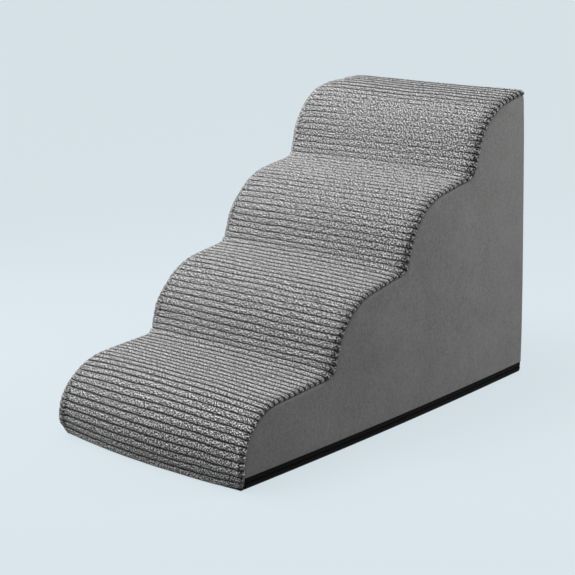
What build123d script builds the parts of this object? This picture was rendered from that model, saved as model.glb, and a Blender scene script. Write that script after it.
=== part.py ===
from build123d import *
import math
import os

# Foam pet ramp with wavy steps: a foam block in a zipped cloth cover.
# X is the width, Y the length with the low front at -Y, Z is up, in millimetres.
# The origin is the middle of the footprint on the floor.

# Stepped outline, measured on the crests of the ribs
width = 400.0
step_count = 4
first_tread = 200.0         # front face to the first valley
tread_pitch = 180.0         # valley to valley
last_tread = 160.0          # last valley to the back
first_rise = 127.0          # floor to the first valley
step_rise = 125.0           # valley to valley
last_rise = 125.0           # last valley to the top back edge, before its roll
first_slope = 4.0           # degrees that the first tread climbs
tread_slope = 10.5          # degrees that the other treads climb
riser_lean = 67.0           # degrees from the floor to a riser
front_crest_radius = 92.0
crest_radius = 120.0
valley_radius = 18.0
crest_share = 0.8           # most of a straight run that a crest may round off
valley_share = 0.18         # most of a straight run that a valley may round off

# Cover
edge_roll = 10.0            # radius of the padded edges, and the depth of the seams
cloth_thickness = 2.0
rib_height = 2.0            # pile of the ribbed panel over its backing
rib_pitch = 11.2
groove_mouth = 4.0
groove_floor = 1.6
hem_lift = 1.0              # front hem over the floor
base_thickness = 2.0
strip_height = 16.0         # top of the black zip strip over the floor

# Zip, a reverse coil: flat tape outside, coil inside
tape_thickness = 0.8
tape_lap = 6.0              # upper tape behind the edge of the wall cloth
coil_width = 2.0
coil_depth = 2.2
zip_gap = 1.4               # between the two halves, for the slider's post
zip_relief = 5.0            # foam cut back behind the zip
zip_end_clearance = 0.3
stop_setback = 12.0         # stops from the front end of the tapes
stop_length = 2.5

# Slider and pull
slider_length = 12.0
slider_width = 10.0
slider_corner = 2.5
plate_thickness = 1.0
slider_clearance = 0.3
flange_width = 1.2
post_length = 4.0
post_setback = 1.0          # post from the front end of the slider
bridge_length = 7.0
bridge_leg = 1.5
bridge_bar = 0.8
bridge_width = 3.0
tab_length = 18.0
tab_width = 6.5
tab_thickness = 1.0
tab_window = 5.0            # opening of the tab that clears the bridge

# Sizes that follow
length = first_tread + (step_count - 2) * tread_pitch + last_tread
height = first_rise + (step_count - 2) * step_rise + last_rise
front = -length / 2
back = length / 2
half_width = width / 2
foam_inset = rib_height + cloth_thickness
seam_front = front + edge_roll
run_out = 5 * edge_roll     # how far helper shapes run past the ramp
least_radius = edge_roll / 20
zip_face = half_width - foam_inset
zip_front = seam_front + zip_end_clearance
zip_middle = (base_thickness + strip_height) / 2
upper_edge = zip_middle + zip_gap / 2
lower_edge = zip_middle - zip_gap / 2
stop_front = zip_front + stop_setback
coil_front = stop_front + stop_length
slider_place = coil_front + slider_clearance + slider_length / 2


def crest_corner(foot, tread_end):
    """Where the riser from a valley meets the tread that ends at the next valley."""
    climb = math.tan(math.radians(riser_lean))
    slope = math.tan(math.radians(tread_slope))
    rise = tread_end[1] - slope * tread_end[0] - foot[1] + climb * foot[0]
    along = rise / (climb - slope)
    return along, foot[1] + climb * (along - foot[0])


def fitted_radius(wanted, corner, before, after, share):
    """A corner radius, limited to the share of its straight runs that its arc may use."""
    run_in = Vector(*corner) - Vector(*before)
    run_on = Vector(*after) - Vector(*corner)
    shorter = min(run_in.length, run_on.length)
    half_turn = math.radians(run_in.get_angle(run_on)) / 2
    return min(wanted, share * shorter / math.tan(half_turn))


# Corners (Y, Z) of the stepped outline, from the front foot to the top back edge
valleys = [
    (front + first_tread + i * tread_pitch, first_rise + i * step_rise)
    for i in range(step_count - 1)
]
tread_ends = valleys[1:] + [(back, height)]
front_crest = (front, first_rise - first_tread * math.tan(math.radians(first_slope)))
corners = [(front, 0.0), front_crest]
wanted_radii = [(front_crest_radius, crest_share)]
for foot, tread_end in zip(valleys, tread_ends):
    corners += [foot, crest_corner(foot, tread_end)]
    wanted_radii += [(valley_radius, valley_share), (crest_radius, crest_share)]
corners.append((back, height))
corner_radii = [
    fitted_radius(wanted, corners[i + 1], corners[i], corners[i + 2], share)
    for i, (wanted, share) in enumerate(wanted_radii)
]


def stepped_face(inset):
    """Side view of the ramp, inset from the rib crests, running past the floor and the back."""
    past_floor = (front, -run_out)
    past_back = (back + run_out, height + run_out * math.tan(math.radians(tread_slope)))
    with BuildSketch(Plane.YZ) as face:
        with BuildLine():
            steps = FilletPolyline(past_floor, *corners[1:-1], past_back, radius=corner_radii)
            Polyline(steps @ 1, (back + run_out, -run_out), steps @ 0)
        make_face()
        if inset > 0:
            offset(amount=-inset)
    return face.sketch


def padded_block(inset):
    """The whole ramp at one depth under the rib crests, with its upper edges rolled."""
    with BuildPart() as block:
        extrude(stepped_face(inset), amount=half_width - inset, both=True)
        split(bisect_by=Plane.XY, keep=Keep.TOP)
        split(bisect_by=Plane.XZ.offset(inset - back), keep=Keep.TOP)
        rolled = block.edges().filter_by(Axis.X).sort_by(Axis.Z)[-1:]
        for side in block.faces().filter_by(Axis.X):
            rolled += side.edges().sort_by(Axis.Z)[1:]
        fillet(rolled, edge_roll - inset)
    return block.part


def zip_band(near, far, level, start):
    """U-shaped plan of the zip round the sides and back, between two depths behind the cloth."""
    with BuildSketch(Plane.XY.offset(level)) as band:
        for depth, mode in ((near, Mode.ADD), (far, Mode.SUBTRACT)):
            with Locations((0, back - foam_inset - depth)):
                RectangleRounded(
                    2 * (zip_face - depth),
                    2 * length,
                    max(edge_roll - foam_inset - depth, least_radius),
                    align=(Align.CENTER, Align.MAX),
                    mode=mode,
                )
        with Locations((0, start)):
            Rectangle(2 * width, 2 * length, align=(Align.CENTER, Align.MIN), mode=Mode.INTERSECT)
    return band.sketch


# The three layers of the ramp: over the ribs, over the cloth and over the foam
rib_level = padded_block(0)
cloth_level = padded_block(rib_height)
foam_level = padded_block(foam_inset)

# Everything below the seams that join the ribbed panel to the walls
with BuildPart() as below_seams:
    extrude(stepped_face(edge_roll), amount=width, both=True)

# Grooves between the ribs, spaced evenly along the steps
with BuildLine() as rib_line:
    FilletPolyline(*corners, radius=corner_radii)
rib_run = rib_line.wire()
rib_count = round(rib_run.length / rib_pitch)
groove_places = []
for i in range(1, rib_count):
    along = i * rib_run.length / rib_count
    at = rib_run.position_at(along, position_mode=PositionMode.LENGTH)
    way = rib_run.tangent_at(along, position_mode=PositionMode.LENGTH)
    groove_places.append(Location((at.X, at.Y), math.degrees(math.atan2(way.Y, way.X))))
groove_section = [
    (-groove_mouth / 2, rib_height / 2),
    (groove_mouth / 2, rib_height / 2),
    (groove_floor / 2, -rib_height),
    (groove_floor / 2, -edge_roll - rib_height),
    (-groove_floor / 2, -edge_roll - rib_height),
    (-groove_floor / 2, -rib_height),
]

# Ribbed plush panel, from the front hem over the steps and rolled over the edges
with BuildPart() as top_panel:
    add(rib_level)
    add(below_seams.part, mode=Mode.SUBTRACT)
    with BuildSketch(Plane.YZ):
        with Locations(*groove_places):
            Polygon(*groove_section, align=None)
    extrude(amount=width, both=True, mode=Mode.SUBTRACT)
    add(cloth_level)
    add(below_seams.part, mode=Mode.SUBTRACT)
    add(foam_level, mode=Mode.SUBTRACT)
    split(bisect_by=Plane.XY.offset(hem_lift), keep=Keep.TOP)

# Plain cloth walls of the cover: both sides wrap the rear corners and meet the back panel
with BuildPart() as cover_walls:
    add(cloth_level)
    add(foam_level, mode=Mode.SUBTRACT)
    add(below_seams.part, mode=Mode.INTERSECT)
    split(bisect_by=Plane.XY.offset(strip_height), keep=Keep.TOP)

with BuildPart() as right_side_panel:
    add(cover_walls.part)
    split(bisect_by=Plane.YZ.offset(half_width - edge_roll), keep=Keep.TOP)

with BuildPart() as left_side_panel:
    mirror(right_side_panel.part, about=Plane.YZ)

with BuildPart() as back_panel:
    add(cover_walls.part)
    split(bisect_by=Plane.YZ.offset(half_width - edge_roll), keep=Keep.BOTTOM)
    split(bisect_by=Plane.YZ.offset(edge_roll - half_width), keep=Keep.TOP)

with BuildPart() as base_panel:
    add(foam_level)
    split(bisect_by=Plane.XY.offset(base_thickness), keep=Keep.BOTTOM)

# Foam block, cut back behind the zip
with BuildPart() as foam_core:
    add(foam_level)
    split(bisect_by=Plane.XY.offset(base_thickness), keep=Keep.TOP)
    extrude(
        zip_band(0, zip_relief, base_thickness, seam_front),
        amount=strip_height + tape_lap + zip_end_clearance - base_thickness,
        mode=Mode.SUBTRACT,
    )

# Zip tapes and coil halves
with BuildPart() as zip_upper_tape:
    extrude(
        zip_band(0, tape_thickness, upper_edge, zip_front),
        amount=strip_height + tape_lap - upper_edge,
    )

with BuildPart() as zip_lower_tape:
    extrude(
        zip_band(0, tape_thickness, base_thickness, zip_front),
        amount=lower_edge - base_thickness,
    )

coil_back = tape_thickness + coil_depth

with BuildPart() as zip_upper_coil:
    extrude(zip_band(tape_thickness, coil_back, upper_edge, coil_front), amount=coil_width)

with BuildPart() as zip_lower_coil:
    extrude(zip_band(tape_thickness, coil_back, lower_edge, coil_front), amount=-coil_width)

# Stops at the ends of the coil: one on each half at the left, one across both at the right
stop_x = zip_face - tape_thickness - coil_depth / 2
stop_y = stop_front + stop_length / 2

with BuildPart() as zip_top_stops:
    with Locations(
        (-stop_x, stop_y, upper_edge + coil_width / 2),
        (-stop_x, stop_y, lower_edge - coil_width / 2),
    ):
        Box(coil_depth, stop_length, coil_width)

with BuildPart() as zip_bottom_stop:
    with Locations((stop_x, stop_y, zip_middle)):
        Box(coil_depth, stop_length, zip_gap + 2 * coil_width)

# Slider on the left run, seen face on: along the zip, and out of the cloth
slider_face = Plane(origin=(-zip_face, slider_place, zip_middle), x_dir=(0, 1, 0), z_dir=(-1, 0, 0))
slider_side = Plane(origin=(-zip_face, slider_place, zip_middle), x_dir=(0, 1, 0), z_dir=(0, 0, 1))
inner_plate = coil_back + slider_clearance
outer_plate = slider_clearance + plate_thickness
flange_place = zip_gap / 2 + coil_width + slider_clearance + flange_width / 2
tab_middle = outer_plate + slider_clearance + tab_thickness / 2
bridge_rise = 2 * slider_clearance + tab_thickness + bridge_bar

with BuildPart() as zip_slider:
    with BuildSketch(slider_face.offset(slider_clearance)):
        RectangleRounded(slider_length, slider_width, slider_corner)
    extrude(amount=plate_thickness)
    with BuildSketch(slider_face.offset(-inner_plate)):
        RectangleRounded(slider_length, slider_width, slider_corner)
    extrude(amount=-plate_thickness)
    # flanges that run along the coil on both sides
    with BuildSketch(slider_face.offset(-inner_plate)):
        with Locations((0, flange_place), (0, -flange_place)):
            Rectangle(slider_length - 2 * slider_corner, flange_width)
    extrude(amount=coil_depth)
    # post that parts the two coil halves
    with BuildSketch(slider_face.offset(-inner_plate)):
        with Locations((post_setback - slider_length / 2, 0)):
            Rectangle(post_length, zip_gap - 2 * slider_clearance, align=(Align.MIN, Align.CENTER))
    extrude(amount=inner_plate + slider_clearance)
    # bridge that holds the pull
    with BuildSketch(slider_side) as bridge:
        with Locations((0, outer_plate)):
            Rectangle(bridge_length, bridge_rise, align=(Align.CENTER, Align.MIN))
        fillet(bridge.vertices().group_by(Axis.Y)[-1], bridge_bar)
        with Locations((0, outer_plate)):
            Rectangle(
                bridge_length - 2 * bridge_leg,
                bridge_rise - bridge_bar,
                align=(Align.CENTER, Align.MIN),
                mode=Mode.SUBTRACT,
            )
    extrude(amount=bridge_width / 2, both=True)

# Pull tab, its crossbar under the bridge, lying back along the zip
with BuildPart() as zip_pull_tab:
    with BuildSketch(slider_face.offset(tab_middle)) as tab:
        SlotOverall(2 * tab_length, tab_width)
        Rectangle(2 * tab_length, tab_width, align=(Align.MAX, Align.CENTER), mode=Mode.SUBTRACT)
        Rectangle(
            tab_window,
            bridge_width + 2 * slider_clearance,
            align=(Align.MIN, Align.CENTER),
            mode=Mode.SUBTRACT,
        )
    extrude(amount=tab_thickness / 2, both=True)
    with BuildSketch(slider_side):
        with Locations((0, tab_middle)):
            Circle(tab_thickness / 2)
    extrude(amount=tab_width / 2, both=True)

pieces = {
    "foam_core": foam_core,
    "top_panel": top_panel,
    "left_side_panel": left_side_panel,
    "right_side_panel": right_side_panel,
    "back_panel": back_panel,
    "base_panel": base_panel,
    "zip_upper_tape": zip_upper_tape,
    "zip_lower_tape": zip_lower_tape,
    "zip_upper_coil": zip_upper_coil,
    "zip_lower_coil": zip_lower_coil,
    "zip_top_stops": zip_top_stops,
    "zip_bottom_stop": zip_bottom_stop,
    "zip_slider": zip_slider,
    "zip_pull_tab": zip_pull_tab,
}

os.makedirs("parts", exist_ok=True)
for name, piece in pieces.items():
    piece.part.label = name
    export_step(piece.part, f"parts/{name}.step")

print(f"length {length:.1f} width {width:.1f} height {height:.1f} ribs {rib_count}")
print(f"slider at y {slider_place:.2f}, pull axis at x {-zip_face - tab_middle:.2f} z {zip_middle:.2f}")
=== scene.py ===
import math

import bmesh
import bpy
import numpy as np
from mathutils import Euler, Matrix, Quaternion, Vector
from mathutils.kdtree import KDTree


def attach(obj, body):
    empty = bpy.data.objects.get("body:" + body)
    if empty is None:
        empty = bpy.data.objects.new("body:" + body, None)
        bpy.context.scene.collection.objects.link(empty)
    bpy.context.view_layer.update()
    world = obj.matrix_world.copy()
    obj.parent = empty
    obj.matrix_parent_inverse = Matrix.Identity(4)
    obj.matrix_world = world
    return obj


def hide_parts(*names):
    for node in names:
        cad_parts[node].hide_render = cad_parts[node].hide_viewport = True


# Foam pet ramp with wavy steps, dressed: ribbed plush top, suede-like walls and a black zip strip.
# Metres, in the frame of the solids: X is the width, Y the length with the low front at -Y, Z is up.
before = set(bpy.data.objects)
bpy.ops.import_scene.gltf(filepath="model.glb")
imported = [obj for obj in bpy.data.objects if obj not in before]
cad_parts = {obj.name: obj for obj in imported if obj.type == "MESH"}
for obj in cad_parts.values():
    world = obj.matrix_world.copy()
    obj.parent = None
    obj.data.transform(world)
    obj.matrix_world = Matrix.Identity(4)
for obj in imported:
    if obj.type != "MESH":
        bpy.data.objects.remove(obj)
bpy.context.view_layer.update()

# Stepped outline, over the crests of the ribs
half_width = 0.200
front = -0.360
back = 0.360
top_edge = 0.502  # top back edge, before its roll
first_valley = (-0.160, 0.127)
valley_run = 0.180  # valley to valley, along
valley_rise = 0.125  # valley to valley, up
valley_count = 3
first_slope = math.radians(4.0)
tread_slope = math.radians(10.5)
riser_lean = math.radians(67.0)
front_crest_radius = 0.092
crest_radius = 0.120
valley_radius = 0.018
crest_share = 0.8  # most of a straight run that a crest may round off
valley_share = 0.18  # most of a straight run that a valley may round off
edge_roll = 0.010  # radius of the padded edges, and the depth of the seams

# Ribbed panel: its grid of points
rib_pitch = 0.0112
rib_rows = (0.0, 0.05, 0.14, 0.36, 0.64, 0.86, 0.95)  # shares of a rib
rib_row_stride = 7  # outer rows to one row of the back face
column_gap = 0.0035  # on the flat
roll_columns = 14  # over each rolled edge
backing_depth = 0.0039  # back face of the panel under the rib crests

# Ribbed panel: ribs and grooves
rib_fullness = 2.7  # exponent of the rib's rounded section, away from the edges
rib_fullness_at_seam = 2.3
fullness_reach = 0.012  # before a rolled edge
wander_size = 0.0009  # how far the grooves stray from their line
wander_cell = (2.5, 0.045)  # ribs along, metres across
end_ribs = 3  # ribs at each end that stray less
tuft_size = 0.00035
tuft_rest = 0.0003  # mean depth under the rib crests
tuft_units = 8  # to a rib: the unit of a tuft's length
tuft_cell = (1.6, 0.0035)  # length in those units, width in metres
groove_depth = 0.0034
groove_heights = (0.0, 0.10, 0.13, 0.18, 0.25, 0.30, 0.37, 0.42, 0.47, 0.48, 0.487, 0.50)
groove_shares = (1.3, 1.3, 1.15, 1.0, 0.95, 0.75, 0.7, 0.48, 0.48, 0.8, 1.2, 1.8)  # how open the grooves are there: their depth up to 1, and the width of their painted shade
tread_groove_share = 0.4  # how much wider the grooves and their painted shade are on the treads
tread_facing = (0.75, 0.97)  # how far up the cover looks, from a riser to a tread
edge_groove_share = 1.3  # how open the grooves are along the right seam; past 1 only their painted shade widens
edge_groove_reach = (-0.018, 0.006)  # from the start of the right rolled edge
top_close_share = 0.7  # how much they close at the top right corner
top_close_reach = (0.03, 0.01)  # from the top back edge
left_groove_share = 0.9  # how open the grooves are towards the left edge
left_groove_start = 0.05  # from the middle
left_roll_start = 0.006  # before the left rolled edge
left_close_share = 0.6  # how much they close there
left_close_end = 0.7  # in radii of the roll

# Ribbed panel: hem and seams
hem_lift = 0.001  # lower edge of the panel over the floor
corner_lift = 0.002  # how much higher the hem is at its two ends
corner_lift_reach = 0.05  # from the start of the rolled edges
seam_tuck = 0.0035  # how deep the seams are drawn in under the rib crests
seam_tuck_start = 0.7  # share of the rolled edge
top_tuck_reach = 0.005  # from the top back edge

# Ribbed panel: colours of the pile, and its painted shade
flecks_across = 430.0  # light and dark fibres to a metre, across the panel
flecks_along = 5.0  # and to a rib, along it
fleck_weight = 0.74
fibres_across = 2300.0  # single fibres, in the same way
fibres_along = 14.0
fibre_weight = 0.26
melange_mean = 0.525  # what calm fibres are pulled to
left_roll_calm = 0.65  # how much less the fibres differ under the left edge
left_calm_end = 0.35  # share of the rolled edge
right_shade_reach = 0.012  # painted shade along the right edge, where its roll faces away from the lamps
right_shade_end = 0.5  # share of the rolled edge
right_shade_level = 0.62
seam_shade = (0.84, 0.97)  # shares of the rolled edge over which painted shade darkens the pile into the seam
foot_heights = (0.08, 0.16)  # where the edge's painted shades begin, from the floor
foot_seam_share = 0.3  # how much of the painted seam shade is left below them

# Swell of the soft block behind the ribbed panel
swell_stations = (0, 0.07, 0.22, 0.965, 1)  # shares of the way over the steps
foot_swell = 0.011  # at the floor, in the middle of the front
front_swell = 0.0092
tread_swell = 0.004
lump_height = 0.0008
lump_cell = (0.05, 0.07)
riser_plump = 0.003  # ribs stand out on the front and the risers
tread_sag = 0.0022  # and lie lower on the treads
sag_ends = (0.90, 0.80)  # shares of the way between which the sag fades
plump_foot = 0.025  # from the floor
plump_end = (0.02, 0.05)  # from the top back edge
edge_plump = 0.0035  # rolled edges of the front and the risers
left_edge_plump = 0.0075
upper_plump_share = 0.7  # of the left edge's, from the third step up
plump_start = (-0.04, 0.16)  # shares of a step over which its edges plump
left_humps = (0.0032, 0.0045, 0.0045, 0.002)  # crest of each step, towards the left edge
hump_middle = 0.68  # share of a step
hump_half = 0.32
hump_start = 0.03  # left of the middle
top_crown = 0.006  # highest tread, most at its left
crown_rise = (0.26, 0.10)  # distances from the top back edge
crown_end = 0.02
crown_across = (0.03, -0.17)
crown_corner = 0.05  # from the left edge, at the back
valley_fill = 0.003  # the cover bridges the valleys
valley_reach = 0.028
foot_corner = 0.0025  # how far the lower right corner of the front is drawn in
foot_corner_height = 0.04
foot_corner_reach = 0.03

# Swell of the soft block behind the plain walls
rear_swell = 0.0018  # upright rear corners, at half height
rear_reach = 0.12  # how far along the sides it fades
side_swell = 0.0065
side_swell_reach = 0.11  # from the seams
left_foot_reach = 0.12  # the foot of the left side stays flat, for the slider
right_foot_reach = 0.09  # the foot of the right side swells
right_seam_reach = 0.02
back_swell = 0.002
back_swell_reach = 0.08
back_foot_reach = 0.1
foam_side_reach = 0.12  # swell of the foam's own sides, from their edge

# Plain walls
wall_inset = 0.002
wall_thickness = 0.0018
wall_tuck = 0.0022  # how deep the walls are drawn in at the seams
tuck_reach = 0.007
fold_radius = 0.0009  # folded lower edge
wall_foot = 0.0178  # lower edge of the walls, over the black strip
wall_column_gap = 0.003  # along the stepped seam
wall_middle_rows = 30  # between the close rows at seam and fold
wrap_columns = 10  # columns round a rear corner
back_columns = 90
tuck_columns = 8  # at each upright seam of the back
ripple_height = 0.0004
side_ripple_cell = (0.045, 0.06)
back_ripple_cell = (0.05, 0.06)
ripple_reach = 0.03  # from the seams
hair = 1e-5  # what counts as no distance

# Zip strip
strip_top = 0.016  # top of the black strip over the floor
base_thickness = 0.002
zip_middle = (base_thickness + strip_top) / 2
zip_gap = 0.0014
zip_inset = 0.004
zip_front = -0.3497
strip_stand = 0.0008  # how far the tapes stand out from their solids
tape_thickness = 0.0008
tape_lap = 0.006  # upper tape behind the walls
tape_rows = (0, 0.03, 0.07, 0.12, 0.2, 0.35, 0.5, 0.65, 0.8, 0.9, 1)  # shares of its width
tape_columns = 620
tape_curl = 0.0012  # width of the curled edge
curl_depth = 0.0005
foot_depth = 0.0012  # how far the foot of the strip is turned under
foot_height = 0.0045
coil_front = -0.3352
coil_width = 0.0020
coil_depth = 0.0022
coil_pitch = 0.0025
coil_wire = 0.00035
coil_points = 8  # points to a turn

# Base
base_edge_points = 400
base_front_points = 40
floor_gap = 0.0006  # under the base, where its dots are
dot_radius = 0.0016
dot_gap = 0.014
dot_sides = 8
dot_crown = 0.6  # share of the radius at a dot's lower end
dot_height = 0.8  # share of the gap under the base
dot_margin = 0.018  # first dots, from the front and from the left
dot_right_margin = 0.016
dot_row_margin = 0.03  # length left out of the rows' count

# Foam
foam_voxel = 0.008
foam_smoothing = 2
foam_slack = 0.001  # play between the foam and the cover

# Camera, fitted to the photographed outline and side seam
camera_place = (1.6018, -1.7504, 0.8163)
camera_turn = math.radians(43.044)
camera_lift = math.radians(14.598)
camera_roll = math.radians(-1.738)
focal_length = 92.36
film_width = 36.0

# Stage
backdrop_colour = (0.701, 0.783, 0.831)
distant_share = 0.96  # brightness of the backdrop beyond the floor
floor_size = 40.0  # from the middle to each side
floor_level = -0.0003
floor_lit_share = 0.14  # share of its look that the lamps give
floor_dim = 0.12  # grey level of the floor as a reflector
sky_strengths = (0.16, 0.50)  # at the horizon and overhead

flat_half = half_width - edge_roll
roll_end = edge_roll * math.pi / 2
side_run = back - edge_roll


class Run:
    """Straight runs joined by arcs, in a plane. The left hand of the way along is the outside."""

    def __init__(self, corners, radii, spacing=0.0005):
        corners = np.array(corners, float)
        ways = np.diff(corners, axis=0)
        headings = np.unwrap(np.arctan2(ways[:, 1], ways[:, 0]))
        places = [corners[:1]]
        facing = [headings[:1]]
        for i, radius in enumerate(radii):
            turn = headings[i + 1] - headings[i]
            reach = radius * math.tan(abs(turn) / 2)
            start = corners[i + 1] - reach * ways[i] / np.linalg.norm(ways[i])
            hand = math.copysign(radius, turn)
            centre = start + hand * self.outside(headings[i])
            steps = max(2, round(abs(turn) * radius / spacing))
            heading = headings[i] + turn * np.linspace(0, 1, steps + 1)
            places.append(centre - hand * self.outside(heading))
            facing.append(heading)
        places.append(corners[-1:])
        facing.append(headings[-1:])
        self.place = np.concatenate(places)
        self.heading = np.concatenate(facing)
        gaps = np.linalg.norm(np.diff(self.place, axis=0), axis=1)
        self.distance = np.concatenate([[0], np.cumsum(gaps)])
        self.length = self.distance[-1]

    @staticmethod
    def outside(heading):
        """Unit vector to the left of a heading."""
        return np.stack([-np.sin(heading), np.cos(heading)], axis=-1)

    def at(self, distance):
        """Place and outward direction at a distance along."""
        first = np.interp(distance, self.distance, self.place[:, 0])
        second = np.interp(distance, self.distance, self.place[:, 1])
        heading = np.interp(distance, self.distance, self.heading)
        return np.stack([first, second], axis=-1), self.outside(heading)


def crest_corner(foot, tread_end):
    """Where the riser from a valley meets the tread that ends at the next valley."""
    climb = math.tan(riser_lean)
    slope = math.tan(tread_slope)
    rise = tread_end[1] - slope * tread_end[0] - foot[1] + climb * foot[0]
    along = rise / (climb - slope)
    return along, foot[1] + climb * (along - foot[0])


def fitted_radius(wanted, corner, before, after, share):
    """A corner radius, limited to the share of its straight runs that its arc may use."""
    run_in = Vector(corner) - Vector(before)
    run_on = Vector(after) - Vector(corner)
    shorter = min(run_in.length, run_on.length)
    return min(wanted, share * shorter / math.tan(run_in.angle(run_on) / 2))


def stepped_run():
    """The outline (Y, Z) from the front foot over the steps and the rolled top back edge."""
    valleys = [
        (first_valley[0] + i * valley_run, first_valley[1] + i * valley_rise)
        for i in range(valley_count)
    ]
    front_crest = (front, first_valley[1] - (first_valley[0] - front) * math.tan(first_slope))
    corners = [(front, 0.0), front_crest]
    wanted = [(front_crest_radius, crest_share)]
    for foot, tread_end in zip(valleys, valleys[1:] + [(back, top_edge)]):
        corners += [foot, crest_corner(foot, tread_end)]
        wanted += [(valley_radius, valley_share), (crest_radius, crest_share)]
    corners.append((back, top_edge))
    radii = [
        fitted_radius(radius, corners[i + 1], corners[i], corners[i + 2], share)
        for i, (radius, share) in enumerate(wanted)
    ]
    roll_reach = edge_roll * math.tan((math.pi / 2 + tread_slope) / 2)
    corners.append((back, top_edge - roll_reach))
    return Run(corners, radii + [edge_roll])


def zip_run():
    """The plan (X, Y) of the zip: up the left side, round the back and down the right side."""
    x = half_width - zip_inset
    y = back - zip_inset
    corners = [(-x, zip_front), (-x, y), (x, y), (x, zip_front)]
    return Run(corners, [edge_roll - zip_inset] * 2)


steps = stepped_run()
strip = zip_run()
rib_count = round((steps.length - hem_lift) / rib_pitch)


def ease(value, start, end):
    """A smooth change from 0 at start to 1 at end."""
    share = np.clip((value - start) / (end - start), 0, 1)
    return share * share * (3 - 2 * share)


def soft_noise(u, v, cell_u, cell_v, seed, lattice_size=257):
    """Smooth random heights from -1 to 1 over a sheet, in bumps of about the cell's size."""
    lattice = np.random.default_rng(seed).uniform(-1, 1, (lattice_size, lattice_size))
    cell = np.floor(np.stack(np.broadcast_arrays(u / cell_u, v / cell_v))).astype(int)
    share_u = ease(u / cell_u - cell[0], 0, 1)
    share_v = ease(v / cell_v - cell[1], 0, 1)
    low = cell % lattice_size
    high = (cell + 1) % lattice_size
    near = lattice[low[0], low[1]] * (1 - share_u) + lattice[high[0], low[1]] * share_u
    far = lattice[low[0], high[1]] * (1 - share_u) + lattice[high[0], high[1]] * share_u
    return near * (1 - share_v) + far * share_v


def bow(place, half):
    """1 in the middle of a span, 0 at its ends."""
    return np.clip(1 - (place / half) ** 2, 0, 1)


def side_bulge(y):
    """How far the sides stand out along the ramp."""
    return side_swell * bow(y, side_run)


def rear_bulge(z):
    """How far the upright rear corners stand out at a height."""
    middle = (top_edge + wall_foot) / 2
    return rear_swell * np.clip(1 - ((z - middle) / (middle - wall_foot - edge_roll)) ** 4, 0, 1)


# Meshes

def add_piece(name, points, faces, paint):
    """A smooth mesh piece whose faces all look outward."""
    mesh = bpy.data.meshes.new(name)
    mesh.from_pydata(points.tolist(), [], faces)
    tidy = bmesh.new()
    tidy.from_mesh(mesh)
    bmesh.ops.recalc_face_normals(tidy, faces=tidy.faces)
    tidy.to_mesh(mesh)
    tidy.free()
    mesh.shade_smooth()
    mesh.materials.append(paint)
    piece = bpy.data.objects.new(name, mesh)
    bpy.context.scene.collection.objects.link(piece)
    return piece


def grid_faces(numbers):
    """Quads between neighbouring rows and columns of vertex numbers."""
    quads = np.stack([numbers[:-1, :-1], numbers[1:, :-1], numbers[1:, 1:], numbers[:-1, 1:]], axis=-1)
    return quads.reshape(-1, 4).tolist()


def shell(name, outer, inner, paint):
    """A closed sheet between an outer grid of points and an inner one with as many or fewer rows."""
    rows, columns = outer.shape[:2]
    stride = (rows - 1) // (len(inner) - 1)
    over = np.arange(rows * columns).reshape(rows, columns)
    under = rows * columns + np.arange(inner.shape[0] * columns).reshape(-1, columns)
    faces = grid_faces(over) + grid_faces(under[:, ::-1])
    faces += grid_faces(np.stack([under[0], over[0]]))
    faces += grid_faces(np.stack([over[-1], under[-1]]))
    for column in (0, columns - 1):
        for i in range(len(inner) - 1):
            edge = over[i * stride:(i + 1) * stride + 1, column]
            faces.append([*edge, under[i + 1, column], under[i, column]])
    points = np.concatenate([outer.reshape(-1, 3), inner.reshape(-1, 3)])
    return add_piece(name, points, faces, paint)


def set_point_value(piece, name, values):
    """Writes one number to each vertex, zero past the end of the list."""
    numbers = np.zeros(len(piece.data.vertices), np.float32)
    numbers[:values.size] = values.ravel()
    piece.data.attributes.new(name, "FLOAT", "POINT").data.foreach_set("value", numbers)


def set_cloth_map(piece, across, along):
    """A UV map of the cloth, from two numbers for each vertex."""
    flat = np.zeros((len(piece.data.vertices), 2), np.float32)
    flat[:across.size] = np.stack([across.ravel(), along.ravel()], axis=-1)
    corners = np.empty(len(piece.data.loops), np.int32)
    piece.data.loops.foreach_get("vertex_index", corners)
    piece.data.uv_layers.new(name="Cloth").data.foreach_set("uv", flat[corners].ravel())


def dress(piece, slot, *nodes):
    """The piece stands for these solids and moves with the ramp."""
    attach(piece, "ramp")
    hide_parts(*nodes)
    return piece


# Ribbed plush panel

def over_steps(along, across, depth):
    """Points over the steps, rolled over the long edges, at a depth under the rib crests."""
    place, out = steps.at(along)
    centre = place - edge_roll * out
    roll = np.maximum(np.abs(across) - flat_half, 0) / edge_roll
    reach = edge_roll - depth
    x = np.clip(across, -flat_half, flat_half) + np.sign(across) * reach * np.sin(roll)
    rise = (reach * np.cos(roll))[..., None] * out
    return np.stack([x, centre[..., 0] + rise[..., 0], centre[..., 1] + rise[..., 1]], axis=-1)


def step_share(along):
    """The step's number, the share of the way to the step's end, and the distance to a valley."""
    pace = np.array([valley_run, valley_rise])
    valleys = np.array(first_valley) + np.arange(valley_count)[:, None] * pace
    gaps = np.linalg.norm(steps.place[None] - valleys[:, None], axis=2)
    feet = np.concatenate([[0], steps.distance[np.argmin(gaps, axis=1)], [steps.length]])
    place = np.interp(along, feet, np.arange(valley_count + 2))
    number = np.minimum(np.floor(place), valley_count)
    to_valley = np.min(np.abs(np.asarray(along)[..., None] - feet[1:-1]), axis=-1)
    return number, place - number, to_valley


def plump_edges(number, share, across):
    """How far the rolled edges of a step stand out, more so on the left."""
    roll = np.clip((np.abs(across) - flat_half) / edge_roll, 0, math.pi / 2)
    at_left = left_edge_plump * np.interp(number, (1, 2), (1, upper_plump_share))
    edge = np.where(across < 0, at_left, edge_plump) * np.sin(2 * roll)
    return edge * np.where(number > 0, ease(share, *plump_start), 1)


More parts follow.
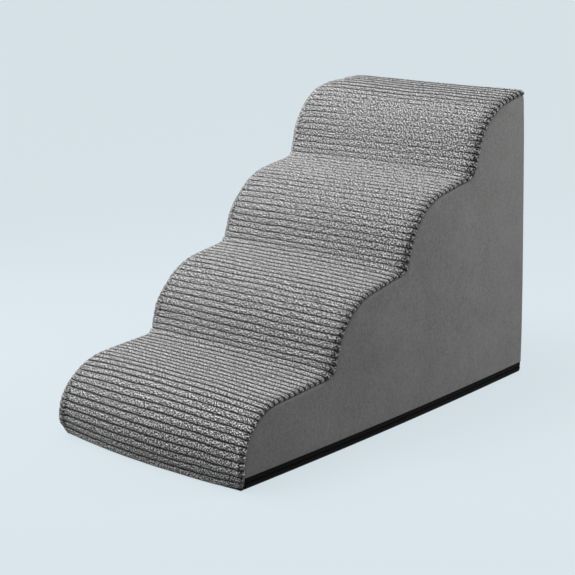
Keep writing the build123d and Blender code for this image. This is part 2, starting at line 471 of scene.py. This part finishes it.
def tread_crown(to_end, across):
    """How far the highest tread stands up, at a distance from the top back edge."""
    crown = top_crown * ease(to_end, *crown_rise) * ease(to_end, 0, crown_end) * ease(across, *crown_across)
    at_corner = ease(to_end, crown_rise[1], crown_end) * ease(half_width + across, crown_corner, 0)
    return crown * (1 - at_corner)


def top_swell(along, across):
    """How far the soft block pushes the panel out, most in the middle of the front."""
    stations = np.array(swell_stations) * steps.length
    height = np.interp(along, stations, (foot_swell, front_swell, tread_swell, tread_swell, 0))
    lumps = lump_height * soft_noise(along, across + half_width, *lump_cell, seed=3)
    out = steps.at(along)[1]
    upright = out[..., 0] ** 2
    flat = out[..., 1] ** 2 * ease(along, sag_ends[0] * steps.length, sag_ends[1] * steps.length)
    number, share, to_valley = step_share(along)
    plump = upright * (riser_plump + plump_edges(number, share, across)) - tread_sag * flat
    to_end = steps.length - along
    between = ease(along, 0, plump_foot) * ease(to_end, *plump_end)
    hump = np.interp(number, np.arange(valley_count + 1), left_humps)
    hump = hump * bow(share - hump_middle, hump_half) * ease(across, -hump_start, -flat_half)
    fill = valley_fill * ease(to_valley, valley_reach, 0)
    corner = foot_corner * ease(along, foot_corner_height, 0)
    corner = corner * ease(across, flat_half - foot_corner_reach, half_width)
    middle = (height + lumps) * bow(across, flat_half)
    return middle + (plump + hump) * between + fill + tread_crown(to_end, across) - corner


def groove_share(along, across):
    """How open the grooves are, in depth and in the width of their painted shade: less so higher up, but wide
    again at the top edge and the right seam.
    """
    place, out = steps.at(along)
    share = np.interp(place[..., 1], groove_heights, groove_shares)
    share = share * (1 + tread_groove_share * ease(out[..., 1], *tread_facing))
    at_right = ease(across, flat_half + edge_groove_reach[0], flat_half + edge_groove_reach[1])
    to_left = ease(-across, left_groove_start, flat_half)
    at_left = ease(-across, flat_half - left_roll_start, flat_half + left_close_end * edge_roll)
    share = share + np.maximum(edge_groove_share - share, 0) * at_right
    at_top = ease(along, steps.length - top_close_reach[0], steps.length - top_close_reach[1])
    share = share * (1 - top_close_share * at_right * at_top)
    share = share + np.maximum(left_groove_share - share, 0) * to_left
    return share * (1 - left_close_share * at_left)


def panel_grid():
    """Columns of the panel's points, and its rib numbers and distances across at each point."""
    ribs = np.concatenate([(np.arange(rib_count)[:, None] + np.array(rib_rows)).ravel(), [rib_count]])
    flat_columns = np.linspace(-flat_half, flat_half, round(2 * flat_half / column_gap) + 1)
    rolled = flat_half + roll_end * np.arange(1, roll_columns + 1) / roll_columns
    columns = np.concatenate([-rolled[::-1], flat_columns, rolled])
    rib, across = np.meshgrid(ribs, columns, indexing="ij")
    return columns, rib, across


def rib_section(rib, across):
    """How high the rounded ribs stand: 1 on their crests, 0 at the foot of the grooves."""
    at_edge = ease(np.abs(across), flat_half - fullness_reach, flat_half + roll_end)
    fullness = rib_fullness + (rib_fullness_at_seam - rib_fullness) * at_edge
    from_middle = np.abs(2 * (rib % 1) - 1)
    return np.maximum(1 - from_middle ** fullness, 0) ** (1 / fullness)


def mark_pile(piece, along, across, pile, groove_open_and_shade):
    """What the plush paint needs to know at each point of the outer face: painted shade in the grooves, into
    the seams and along the right edge, and where the left edge's fibres are calm.
    """
    # painted shade into the seams, weaker near the floor
    painted_seam_shade = ease(np.abs(across), flat_half + seam_shade[0] * roll_end, flat_half + seam_shade[1] * roll_end)
    above_foot = ease(along, *foot_heights)
    painted_seam_shade = painted_seam_shade * (foot_seam_share + (1 - foot_seam_share) * above_foot)
    # pile: painted shade at the foot of the grooves, darkened into the seams
    set_point_value(piece, "pile", np.maximum(1 - groove_open_and_shade * (1 - pile), 0) * (1 - painted_seam_shade))
    # painted shade along the right edge, where the roll faces away from the lamps, less near the floor
    turned = ease(across, flat_half - right_shade_reach, flat_half + right_shade_end * roll_end)
    set_point_value(piece, "turned", turned * above_foot)
    calm = ease(-across, flat_half - left_roll_start, flat_half + left_calm_end * roll_end)
    set_point_value(piece, "calm", calm)


def build_top_panel(paint):
    """The plush panel: the grooves wander a little, and the ribs vary in height."""
    columns, rib, across = panel_grid()
    wander = wander_size * soft_noise(rib, across + half_width, *wander_cell, seed=1)
    wander *= ease(rib, 0, end_ribs) * ease(rib_count - rib, 0, end_ribs)
    along = hem_lift + rib * (steps.length - hem_lift) / rib_count + wander
    to_corner = ease(np.abs(across), flat_half - corner_lift_reach, half_width)
    along += corner_lift * to_corner * ease(rib, end_ribs, 0)
    pile = rib_section(rib, across)
    tufts = tuft_size * soft_noise(rib * tuft_units, across + half_width, *tuft_cell, seed=2)
    groove_open_and_shade = groove_share(along, across)
    depth = groove_depth * np.minimum(groove_open_and_shade, 1) * (1 - pile) + (tufts + tuft_rest) * pile
    to_seam = np.maximum(
        ease(np.abs(across), flat_half + seam_tuck_start * roll_end, flat_half + roll_end),
        ease(along, steps.length - top_tuck_reach, steps.length),
    )
    depth = depth + (seam_tuck - depth) * to_seam
    swell = top_swell(along, across)
    outer = over_steps(along, across, depth - swell)
    inner = over_steps(along, across, np.full_like(depth, backing_depth) - swell)[::rib_row_stride]

    piece = shell("plush_top", outer, inner, paint)
    mark_pile(piece, along, across, pile, groove_open_and_shade)
    set_cloth_map(piece, across, rib)
    return dress(piece, "plush", "top_panel")


# Plain walls

def wall_rows(top):
    """Heights down each column of a wall, close together at the seam and at the folded foot."""
    near_seam = np.array([0, 0.6, 1.4, 2.4, 3.6, 5.0, 6.6, 8.5, 12, 17, 24]) / 1000
    near_fold = np.array([6, 3.5, 2, 1.4, 0.9, 0.7, 0.5, 0.35, 0.22, 0.1, 0.03, 0]) / 1000
    shares = np.linspace(0, 1, wall_middle_rows + 2)[1:-1, None]
    upper = top - near_seam[:, None]
    lower = wall_foot + near_fold[:, None] + 0 * top
    return np.concatenate([upper, upper[-1] + shares * (lower[0] - upper[-1]), lower])


def border_distance(points, border):
    """Distance in the plane from each point to the nearest point of a border."""
    tree = KDTree(len(border))
    for i, (u, v) in enumerate(border):
        tree.insert((u, v, 0), i)
    tree.balance()
    gaps = [tree.find((u, v, 0))[2] for u, v in points.reshape(-1, 2)]
    return np.array(gaps).reshape(points.shape[:2])


def wall_depth(z, to_seam):
    """How far a wall's edges are drawn in: at the seams, and at the folded foot."""
    past = np.clip(1 - to_seam / tuck_reach, 0, 1)
    tuck = wall_tuck * (1 - np.sqrt(1 - past ** 2))
    low = np.clip(1 - (z - wall_foot) / fold_radius, 0, 1)
    return tuck + fold_radius * (1 - np.sqrt(1 - low ** 2))


def closely(start, end, gap=0.0015):
    """Points from start to end, close together."""
    start = np.array(start)
    end = np.array(end)
    count = max(2, round(np.linalg.norm(end - start) / gap))
    return start + (end - start) * np.linspace(0, 1, count)[:, None]


def side_outline(wrap):
    """Distances along a side, round its rear corner by a wrap, and the height of its seam there."""
    distance = np.linspace(0, steps.length, round(steps.length / wall_column_gap))
    place, out = steps.at(distance)
    seam = place - edge_roll * out
    on_steps = (seam[:, 0] > front + edge_roll + hair) & (seam[:, 0] < side_run - hair)
    first = np.flatnonzero(on_steps)[0] - 1
    seam_y = np.concatenate([seam[first:first + 1, 0], seam[on_steps, 0]])
    seam_z = np.concatenate([seam[first:first + 1, 1], seam[on_steps, 1]])
    wrap_y = side_run + wrap * np.linspace(0, 1, wrap_columns)
    top = np.concatenate([seam_z, np.full_like(wrap_y, seam[-1, 1])])
    return np.concatenate([seam_y, wrap_y]), top


def side_offset(side, u, z, to_seam):
    """How far a side stands out: its swell, fine ripples and the edges that are drawn in."""
    swell = side_bulge(u) * ease(to_seam, 0, side_swell_reach)
    if side < 0:
        swell *= ease(z, wall_foot, wall_foot + left_foot_reach)
    else:
        at_foot = 1 - ease(z, wall_foot, wall_foot + right_foot_reach)
        swell = np.maximum(swell, side_bulge(u) * at_foot * ease(to_seam, 0, right_seam_reach))
    ripple = ripple_height * soft_noise(u + 1, z, *side_ripple_cell, seed=5 + side)
    ripple = ripple * ease(to_seam, 0, ripple_reach)
    to_rear = ease(u, side_run - rear_reach, side_run)
    return swell + ripple + rear_bulge(z) * to_rear - wall_depth(z, to_seam)


def build_side_panel(name, node, side, paint):
    """A side of the cover, round the rear corner: side is 1 for the right, -1 for the left."""
    corner_radius = edge_roll - wall_inset
    u, top = side_outline(corner_radius * math.pi / 2)
    z = wall_rows(top[None, :])
    u = np.broadcast_to(u, z.shape)
    border = np.concatenate([
        closely((u[0, 0], wall_foot), (u[0, 0], top[0])),
        np.stack([u[0], top], axis=-1),
        closely((u[0, -1], top[-1]), (u[0, -1], wall_foot)),
    ])
    to_seam = border_distance(np.stack([u, z], axis=-1), border)
    offset = side_offset(side, u, z, to_seam)
    angle = np.clip((u - side_run) / corner_radius, 0, None)
    y = np.minimum(u, side_run)

    def sheet_at(level):
        reach = corner_radius + level
        return np.stack([
            side * (flat_half + reach * np.cos(angle)),
            y + reach * np.sin(angle),
            z,
        ], axis=-1)

    piece = shell(name, sheet_at(offset), sheet_at(offset - wall_thickness), paint)
    return dress(piece, "suede", node)


def build_back_panel(paint):
    """The wall at the back, between the two rear corners."""
    columns = np.concatenate([
        np.linspace(-flat_half, -flat_half + tuck_reach, tuck_columns)[:-1],
        np.linspace(-flat_half + tuck_reach, flat_half - tuck_reach, back_columns),
        np.linspace(flat_half - tuck_reach, flat_half, tuck_columns)[1:],
    ])
    place, out = steps.at(steps.length)
    top = (place - edge_roll * out)[1]
    z = wall_rows(np.full((1, columns.size), top))
    x = np.broadcast_to(columns, z.shape)
    to_seam = np.minimum(flat_half - np.abs(x), top - z)
    swell = back_swell * bow(x, flat_half) * ease(to_seam, 0, back_swell_reach)
    swell = swell * ease(z, wall_foot, wall_foot + back_foot_reach)
    ripple = ripple_height * soft_noise(x + 1, z, *back_ripple_cell, seed=9)
    ripple = ripple * ease(to_seam, 0, ripple_reach)
    y = back - wall_inset + swell + ripple + rear_bulge(z) - wall_depth(z, to_seam)
    outer = np.stack([x, y, z], axis=-1)
    inner = np.stack([x, y - wall_thickness, z], axis=-1)
    piece = shell("suede_back", outer, inner, paint)
    return dress(piece, "suede", "back_panel")


# Zip strip

def along_strip(distance, depth, z):
    """Points on the zip at a depth behind the strip's face, following the bulge of the right side."""
    place, out = strip.at(distance)
    point = place - (depth - strip_stand)[..., None] * out
    faces_right = out[..., 0] > 0.5
    x = point[..., 0] + np.where(faces_right, side_bulge(point[..., 1]), 0)
    return np.stack([x, point[..., 1], z], axis=-1)


def build_tape(name, node, inner_edge, outer_edge, paint):
    """One tape of the zip, its edge curled in over the coil and the foot of the strip turned under."""
    heights = inner_edge + (outer_edge - inner_edge) * np.array(tape_rows)
    distance, z = np.meshgrid(np.linspace(0, strip.length, tape_columns), heights, indexing="ij")
    near = np.clip(1 - np.abs(z - inner_edge) / tape_curl, 0, 1)
    turned_under = np.clip(1 - (z - base_thickness) / foot_height, 0, 1)
    depth = curl_depth * near ** 2 + foot_depth * turned_under ** 2
    outer = along_strip(distance, depth, z)
    inner = along_strip(distance, depth + tape_thickness, z)
    piece = shell(name, outer, inner, paint)
    set_cloth_map(piece, distance, z)
    return dress(piece, "zip_tape", node)


def build_coil(name, node, hand, paint):
    """One half of the zip's coil: hand is 1 for the upper half, -1 for the lower."""
    lead = coil_front - zip_front
    turns = int((strip.length - 2 * lead) / coil_pitch)
    angle = np.linspace(0, 2 * math.pi * turns, turns * coil_points + 1)
    distance = lead + coil_pitch * angle / (2 * math.pi) + (coil_pitch / 2 if hand < 0 else 0)
    depth = tape_thickness + coil_depth / 2 + (coil_depth / 2 - coil_wire) * np.cos(angle)
    middle = zip_middle + hand * (zip_gap + coil_width) / 2
    points = along_strip(distance, depth, middle + hand * (coil_width / 2 - coil_wire) * np.sin(angle))
    curve = bpy.data.curves.new(name, "CURVE")
    curve.dimensions = "3D"
    curve.bevel_depth = coil_wire
    curve.bevel_resolution = 1
    line = curve.splines.new("POLY")
    line.points.add(len(points) - 1)
    line.points.foreach_set("co", np.column_stack([points, np.ones(len(points))]).ravel())
    curve.materials.append(paint)
    piece = bpy.data.objects.new(name, curve)
    bpy.context.scene.collection.objects.link(piece)
    return dress(piece, "zip_coil", node)


# Base and foam

def base_slab():
    """Points and faces of the underside's plain slab."""
    distance = np.linspace(0, strip.length, base_edge_points)
    edge = along_strip(distance, np.full_like(distance, foot_depth), 0 * distance)[:, :2]
    across = np.linspace(edge[-1, 0], edge[0, 0], base_front_points)
    front_line = front + zip_inset - foot_swell * bow(across, flat_half)
    plan = np.concatenate([edge, np.stack([across, front_line], axis=-1)])
    count = len(plan)
    lower = np.column_stack([plan, np.full(count, floor_gap)])
    upper = np.column_stack([plan, np.full(count, base_thickness)])
    numbers = np.arange(count)
    around = np.roll(numbers, -1)
    sides = np.stack([numbers, around, around + count, numbers + count], axis=-1)
    faces = [numbers.tolist(), (numbers + count).tolist()] + sides.tolist()
    return [lower, upper], faces


def add_grip_dots(points, faces):
    """Adds one low dome for each grip dot; every second row is shifted by half a gap."""
    ring = np.linspace(0, 2 * math.pi, dot_sides, endpoint=False)
    rim = np.stack([np.cos(ring), np.sin(ring), 0 * ring], axis=-1) * dot_radius
    crown = rim * dot_crown - np.array([0, 0, dot_height * floor_gap])
    dome = np.concatenate([rim, crown])
    total = sum(len(part) for part in points)
    row_count = int((back - front - dot_row_margin) / dot_gap)
    for row in range(row_count):
        y = front + dot_margin + row * dot_gap
        first_x = -half_width + dot_margin + (row % 2) * dot_gap / 2
        for x in np.arange(first_x, half_width - dot_right_margin, dot_gap):
            points.append(dome + np.array([x, y, floor_gap]))
            first = total + np.arange(dot_sides)
            second = np.roll(first, -1)
            faces += np.stack([first, second, second + dot_sides, first + dot_sides], axis=-1).tolist()
            faces += [first.tolist(), (first + dot_sides).tolist()]
            total += len(dome)


def build_base(paint):
    """The black underside, with rows of small grip dots."""
    points, faces = base_slab()
    add_grip_dots(points, faces)
    piece = add_piece("grip_base", np.concatenate(points), faces, paint)
    for face in piece.data.polygons:
        face.use_smooth = False
    return dress(piece, "base_cloth", "base_panel")


def cover_swell(points, normals):
    """How far the cover stands out from the solids near points of the foam's skin."""
    outline = KDTree(len(steps.place))
    for i, (y, z) in enumerate(steps.place):
        outline.insert((y, z, 0), i)
    outline.balance()
    found = [outline.find((y, z, 0))[1:] for y, z in points[:, 1:]]
    nearest = np.array([number for number, gap in found])
    to_steps = np.array([gap for number, gap in found])
    over = top_swell(steps.distance[nearest], np.clip(points[:, 0], -flat_half, flat_half))
    facing = Run.outside(steps.heading[nearest])
    faces_steps = np.maximum(np.einsum("ij,ij->i", normals[:, 1:], facing), 0)
    faces_side = np.abs(normals[:, 0])
    low = ease(points[:, 2], wall_foot, wall_foot + left_foot_reach)
    side = side_bulge(points[:, 1]) * ease(to_steps, edge_roll, edge_roll + foam_side_reach) * low
    under = np.maximum(-normals[:, 2], 0)
    return np.maximum(over * faces_steps, side * faces_side) * (1 - under)


def build_foam(paint):
    """The foam block: the solid's form, softened and swollen with the cover."""
    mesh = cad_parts["foam_core"].data.copy()
    mesh.materials.clear()
    piece = bpy.data.objects.new("foam_block", mesh)
    bpy.context.scene.collection.objects.link(piece)
    remesh = piece.modifiers.new("remesh", "REMESH")
    remesh.mode = "VOXEL"
    remesh.voxel_size = foam_voxel
    smooth = piece.modifiers.new("smooth", "SMOOTH")
    smooth.iterations = foam_smoothing
    bpy.context.view_layer.update()
    seen = piece.evaluated_get(bpy.context.evaluated_depsgraph_get())
    piece.data = bpy.data.meshes.new_from_object(seen)
    piece.modifiers.clear()
    points = np.array([vertex.co for vertex in piece.data.vertices])
    normals = np.array([vertex.normal for vertex in piece.data.vertices])
    points += normals * (cover_swell(points, normals) - foam_slack)[:, None]
    piece.data.vertices.foreach_set("co", points.ravel())
    piece.data.materials.clear()
    piece.data.materials.append(paint)
    piece.data.shade_smooth()
    return dress(piece, "foam", "foam_core")


# Materials

class Paint:
    """A procedural material with one Principled shader."""

    def __init__(self, name, **constants):
        self.material = bpy.data.materials.new(name)
        self.material.use_nodes = True
        self.tree = self.material.node_tree
        self.shader = self.tree.nodes["Principled BSDF"]
        for socket, value in constants.items():
            self.shader.inputs[socket.replace("_", " ")].default_value = value

    def node(self, kind, inputs=None, **settings):
        """A new node: inputs are values or other nodes' sockets by name or number."""
        made = self.tree.nodes.new(kind)
        for setting, value in settings.items():
            setattr(made, setting, value)
        for socket, value in (inputs or {}).items():
            if isinstance(value, bpy.types.NodeSocket):
                self.tree.links.new(value, made.inputs[socket])
            else:
                made.inputs[socket].default_value = value
        return made

    def noise(self, vector, scale, detail=2.0, roughness=0.6):
        values = {"Vector": vector, "Scale": scale, "Detail": detail, "Roughness": roughness}
        return self.node("ShaderNodeTexNoise", values).outputs["Fac"]

    def stretched(self, vector, scale, place=(0, 0, 0)):
        values = {"Vector": vector, "Scale": scale, "Location": place}
        return self.node("ShaderNodeMapping", values).outputs["Vector"]

    def math(self, operation, first, second):
        return self.node("ShaderNodeMath", {0: first, 1: second}, operation=operation).outputs[0]

    def weighted(self, *parts):
        """The sum of factors, each times its weight."""
        total, *rest = [self.math("MULTIPLY", factor, weight) for factor, weight in parts]
        for part in rest:
            total = self.math("ADD", total, part)
        return total

    def ramp(self, factor, *stops):
        """A colour for each share of a factor: stops are (share, grey level or colour)."""
        made = self.node("ShaderNodeValToRGB", {"Fac": factor})
        points = made.color_ramp.elements
        while len(points) < len(stops):
            points.new(0.5)
        for point, (share, colour) in zip(points, stops):
            point.position = share
            point.color = (*colour, 1) if isinstance(colour, tuple) else (colour, colour, colour, 1)
        return made.outputs["Color"]

    def mix(self, factor, first, second, blend="MIX"):
        values = {0: factor, 6: first, 7: second}
        return self.node("ShaderNodeMix", values, data_type="RGBA", blend_type=blend).outputs[2]

    def colour(self, socket):
        self.tree.links.new(socket, self.shader.inputs["Base Color"])

    def rough(self, socket):
        self.tree.links.new(socket, self.shader.inputs["Roughness"])

    def bump(self, height, strength, distance):
        values = {"Height": height, "Strength": strength, "Distance": distance}
        made = self.node("ShaderNodeBump", values)
        self.tree.links.new(made.outputs["Normal"], self.shader.inputs["Normal"])

    def place(self, kind="Object"):
        return self.node("ShaderNodeTexCoord").outputs[kind]

    def cloth_map(self):
        return self.node("ShaderNodeUVMap", uv_map="Cloth").outputs["UV"]


def plush_paint():
    """Short melange pile: light and dark fibres mixed, with painted shade at the foot of the grooves, into
    the seams and along the right edge.
    """
    paint = Paint("melange_plush", Roughness=0.95, Sheen_Weight=0.25, Sheen_Roughness=0.5)
    cloth = paint.cloth_map()
    flecks = paint.noise(paint.stretched(cloth, (flecks_across, flecks_along, 1)), 1.0, 0.5, 0.5)
    fibres = paint.noise(paint.stretched(cloth, (fibres_across, fibres_along, 1)), 1.0, 2.0, 0.6)
    melange = paint.weighted((flecks, fleck_weight), (fibres, fibre_weight))
    calm = paint.node("ShaderNodeAttribute", attribute_name="calm").outputs["Fac"]
    lively = paint.math("SUBTRACT", 1.0, paint.math("MULTIPLY", calm, left_roll_calm))
    from_mean = paint.math("MULTIPLY", paint.math("SUBTRACT", melange, melange_mean), lively)
    melange = paint.math("ADD", from_mean, melange_mean)
    yarn = paint.ramp(melange, (0.45, 0.012), (melange_mean, 0.31), (0.60, 0.95))
    # painted shade at the foot of the grooves and into the seams
    pile = paint.node("ShaderNodeAttribute", attribute_name="pile").outputs["Fac"]
    shade = paint.ramp(pile, (0.0, 0.0), (0.50, 0.04), (0.88, 1.0))
    # painted shade along the right rolled edge
    turned = paint.node("ShaderNodeAttribute", attribute_name="turned").outputs["Fac"]
    yarn = paint.mix(1.0, yarn, paint.ramp(turned, (0.0, 1.0), (1.0, right_shade_level)), "MULTIPLY")
    paint.colour(paint.mix(1.0, yarn, shade, "MULTIPLY"))
    paint.bump(melange, 0.8, 0.0015)
    return paint.material


def suede_paint():
    """Smooth dark grey brushed cloth with a mottled grain and soft patches of nap."""
    paint = Paint("grey_suede", Roughness=0.9, Sheen_Weight=0.12, Sheen_Roughness=0.45)
    place = paint.place()
    grain = paint.noise(place, 420, 2.0, 0.7)
    streak = paint.noise(paint.stretched(place, (260, 260, 70)), 1.0, 3.0, 0.6)
    mottle = paint.noise(place, 170, 3.0, 0.6)
    nap = paint.noise(place, 22, 3.0, 0.55)
    mixed = paint.weighted((grain, 0.45), (streak, 0.15), (mottle, 0.22), (nap, 0.18))
    dark = (0.134, 0.132, 0.130)
    plain = (0.199, 0.197, 0.194)
    light = (0.268, 0.265, 0.261)
    paint.colour(paint.ramp(mixed, (0.34, dark), (0.50, plain), (0.66, light)))
    paint.bump(paint.math("ADD", grain, mottle), 0.3, 0.0006)
    return paint.material


def tape_paint():
    """Black zip tape with a fine rib across it."""
    paint = Paint("zip_tape_weave", Roughness=0.9, Specular_IOR_Level=0.08)
    cloth = paint.cloth_map()
    weave = paint.node(
        "ShaderNodeTexWave",
        {"Vector": cloth, "Scale": 420.0, "Distortion": 1.5, "Detail": 1.0},
        bands_direction="DIAGONAL",
    ).outputs["Fac"]
    lint = paint.noise(cloth, 300, 3.0, 0.7)
    ground = paint.ramp(lint, (0.3, 0.002), (0.7, 0.005))
    paint.colour(paint.mix(weave, ground, (0.0075, 0.007, 0.007, 1)))
    paint.bump(weave, 0.5, 0.0003)
    return paint.material


def base_paint():
    """Black coarse cloth of the underside."""
    paint = Paint("base_weave", Roughness=0.7)
    place = paint.place()
    weave = paint.node("ShaderNodeTexBrick", {"Vector": place, "Scale": 260.0}).outputs["Fac"]
    lint = paint.noise(place, 500, 3.0, 0.7)
    ground = paint.ramp(lint, (0.3, 0.006), (0.7, 0.014))
    paint.colour(paint.mix(weave, ground, (0.004, 0.004, 0.004, 1)))
    paint.bump(lint, 0.5, 0.0004)
    return paint.material


def coil_paint():
    """Black nylon."""
    paint = Paint("zip_nylon", Roughness=0.4)
    wear = paint.noise(paint.place(), 700, 2.0, 0.6)
    paint.colour(paint.ramp(wear, (0.35, 0.010), (0.7, 0.022)))
    paint.rough(paint.ramp(wear, (0.3, 0.32), (0.7, 0.5)))
    return paint.material


def metal_paint():
    """Black lacquered metal, rubbed a little."""
    paint = Paint("black_lacquer", Metallic=0.6, Roughness=0.35)
    wear = paint.noise(paint.place(), 420, 4.0, 0.65)
    paint.colour(paint.ramp(wear, (0.45, 0.018), (0.62, 0.03), (0.75, 0.10)))
    paint.rough(paint.ramp(wear, (0.4, 0.28), (0.7, 0.5)))
    return paint.material


def foam_paint():
    """Cream open-cell foam."""
    paint = Paint("cream_foam", Roughness=0.95)
    place = paint.place()
    cells = paint.node("ShaderNodeTexVoronoi", {"Vector": place, "Scale": 500.0}).outputs["Distance"]
    paint.colour(paint.ramp(cells, (0.1, (0.55, 0.50, 0.36)), (0.7, (0.80, 0.76, 0.62))))
    paint.bump(cells, 0.6, 0.001)
    return paint.material


# Stage

def seen_ray(tree):
    """1 for what the camera sees, straight or in a gloss, and 0 for what only lights the ramp."""
    path = tree.nodes.new("ShaderNodeLightPath")
    total = path.outputs["Is Camera Ray"]
    for kind in ("Is Glossy Ray", "Is Transmission Ray"):
        larger = tree.nodes.new("ShaderNodeMath")
        larger.operation = "MAXIMUM"
        tree.links.new(total, larger.inputs[0])
        tree.links.new(path.outputs[kind], larger.inputs[1])
        total = larger.outputs[0]
    return total


def build_floor():
    """Pale floor that looks even to the camera, is dimmer as a reflector and keeps the ramp's shadow."""
    corners = floor_size * np.array([(-1, -1, 0), (1, -1, 0), (1, 1, 0), (-1, 1, 0)], float)
    corners[:, 2] = floor_level
    floor = add_piece("floor", corners, [[0, 1, 2, 3]], bpy.data.materials.new("pale_floor"))
    material = floor.data.materials[0]
    material.use_nodes = True
    nodes = material.node_tree.nodes
    links = material.node_tree.links
    nodes.clear()
    output = nodes.new("ShaderNodeOutputMaterial")
    lit = nodes.new("ShaderNodeBsdfDiffuse")
    lit.inputs["Color"].default_value = (*backdrop_colour, 1)
    even = nodes.new("ShaderNodeEmission")
    even.inputs["Color"].default_value = (*backdrop_colour, 1)
    shown = nodes.new("ShaderNodeMixShader")
    shown.inputs["Fac"].default_value = floor_lit_share
    links.new(even.outputs[0], shown.inputs[1])
    links.new(lit.outputs[0], shown.inputs[2])
    dim = nodes.new("ShaderNodeBsdfDiffuse")
    dim.inputs["Color"].default_value = (floor_dim, floor_dim, floor_dim, 1)
    both = nodes.new("ShaderNodeMixShader")
    links.new(seen_ray(material.node_tree), both.inputs["Fac"])
    links.new(dim.outputs[0], both.inputs[1])
    links.new(shown.outputs[0], both.inputs[2])
    links.new(both.outputs[0], output.inputs["Surface"])


def build_sky():
    """Soft light from all round, brighter overhead; the camera sees a plain backdrop instead."""
    world = bpy.data.worlds.new("studio")
    world.use_nodes = True
    bpy.context.scene.world = world
    nodes = world.node_tree.nodes
    links = world.node_tree.links
    around = nodes["Background"]
    around.inputs["Color"].default_value = (1, 1, 1, 1)
    way = nodes.new("ShaderNodeTexCoord")
    split = nodes.new("ShaderNodeSeparateXYZ")
    links.new(way.outputs["Generated"], split.inputs[0])
    overhead = nodes.new("ShaderNodeMapRange")
    overhead.inputs["To Min"].default_value = sky_strengths[0]
    overhead.inputs["To Max"].default_value = sky_strengths[1]
    links.new(split.outputs["Z"], overhead.inputs["Value"])
    links.new(overhead.outputs[0], around.inputs["Strength"])
    distant = nodes.new("ShaderNodeBackground")
    distant.inputs["Color"].default_value = (*backdrop_colour, 1)
    distant.inputs["Strength"].default_value = distant_share
    either = nodes.new("ShaderNodeMixShader")
    links.new(seen_ray(world.node_tree), either.inputs["Fac"])
    links.new(around.outputs[0], either.inputs[1])
    links.new(distant.outputs[0], either.inputs[2])
    links.new(either.outputs[0], nodes["World Output"].inputs["Surface"])


def add_lamp(name, kind, energy, place, target, **settings):
    """A lamp at a place that looks at a target."""
    lamp = bpy.data.lights.new(name, kind)
    lamp.energy = energy
    for setting, value in settings.items():
        setattr(lamp, setting, value)
    holder = bpy.data.objects.new(name, lamp)
    holder.location = place
    holder.rotation_euler = (Vector(target) - Vector(place)).to_track_quat("-Z", "Y").to_euler()
    bpy.context.scene.collection.objects.link(holder)


def build_lights():
    """A broad key from the front left, with softboxes at the left, at the rear right and overhead."""
    middle = (0, 0, 0.25)
    add_lamp("key", "SUN", energy=1.3, place=(-1.3, -1.1, 2.4), target=middle, angle=math.radians(40))
    add_lamp("left_softbox", "AREA", energy=9.0, place=(-0.9, -0.35, 1.0), target=middle, size=0.8)
    add_lamp("rear_softbox", "AREA", energy=10.5, place=(1.25, 1.0, 0.60), target=middle, size=0.8)
    add_lamp("top_softbox", "AREA", energy=3.0, place=(0.1, 0.5, 1.6), target=middle, size=1.0)


def build_camera():
    """The camera at the photograph's viewing angle."""
    camera = bpy.data.objects.new("camera", bpy.data.cameras.new("camera"))
    camera.data.lens = focal_length
    camera.data.sensor_width = film_width
    camera.location = camera_place
    aim = Euler((math.pi / 2 - camera_lift, 0, camera_turn)).to_quaternion()
    camera.rotation_mode = "QUATERNION"
    camera.rotation_quaternion = aim @ Quaternion((0, 0, 1), camera_roll)
    bpy.context.scene.collection.objects.link(camera)
    bpy.context.scene.camera = camera


# The ramp
suede = suede_paint()
tape = tape_paint()
nylon = coil_paint()
lacquer = metal_paint()
build_foam(foam_paint())
build_top_panel(plush_paint())
build_side_panel("suede_right", "right_side_panel", 1, suede)
build_side_panel("suede_left", "left_side_panel", -1, suede)
build_back_panel(suede)
build_tape("tape_upper", "zip_upper_tape", zip_middle + zip_gap / 2, strip_top + tape_lap, tape)
build_tape("tape_lower", "zip_lower_tape", zip_middle - zip_gap / 2, base_thickness, tape)
build_coil("coil_upper", "zip_upper_coil", 1, nylon)
build_coil("coil_lower", "zip_lower_coil", -1, nylon)
build_base(base_paint())
for node in ("zip_top_stops", "zip_bottom_stop"):
    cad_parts[node].material_slots[0].material = nylon
for node in ("zip_slider", "zip_pull_tab"):
    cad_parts[node].material_slots[0].material = lacquer

build_floor()
build_sky()
build_lights()
build_camera()
bpy.context.scene.view_settings.view_transform = "Standard"
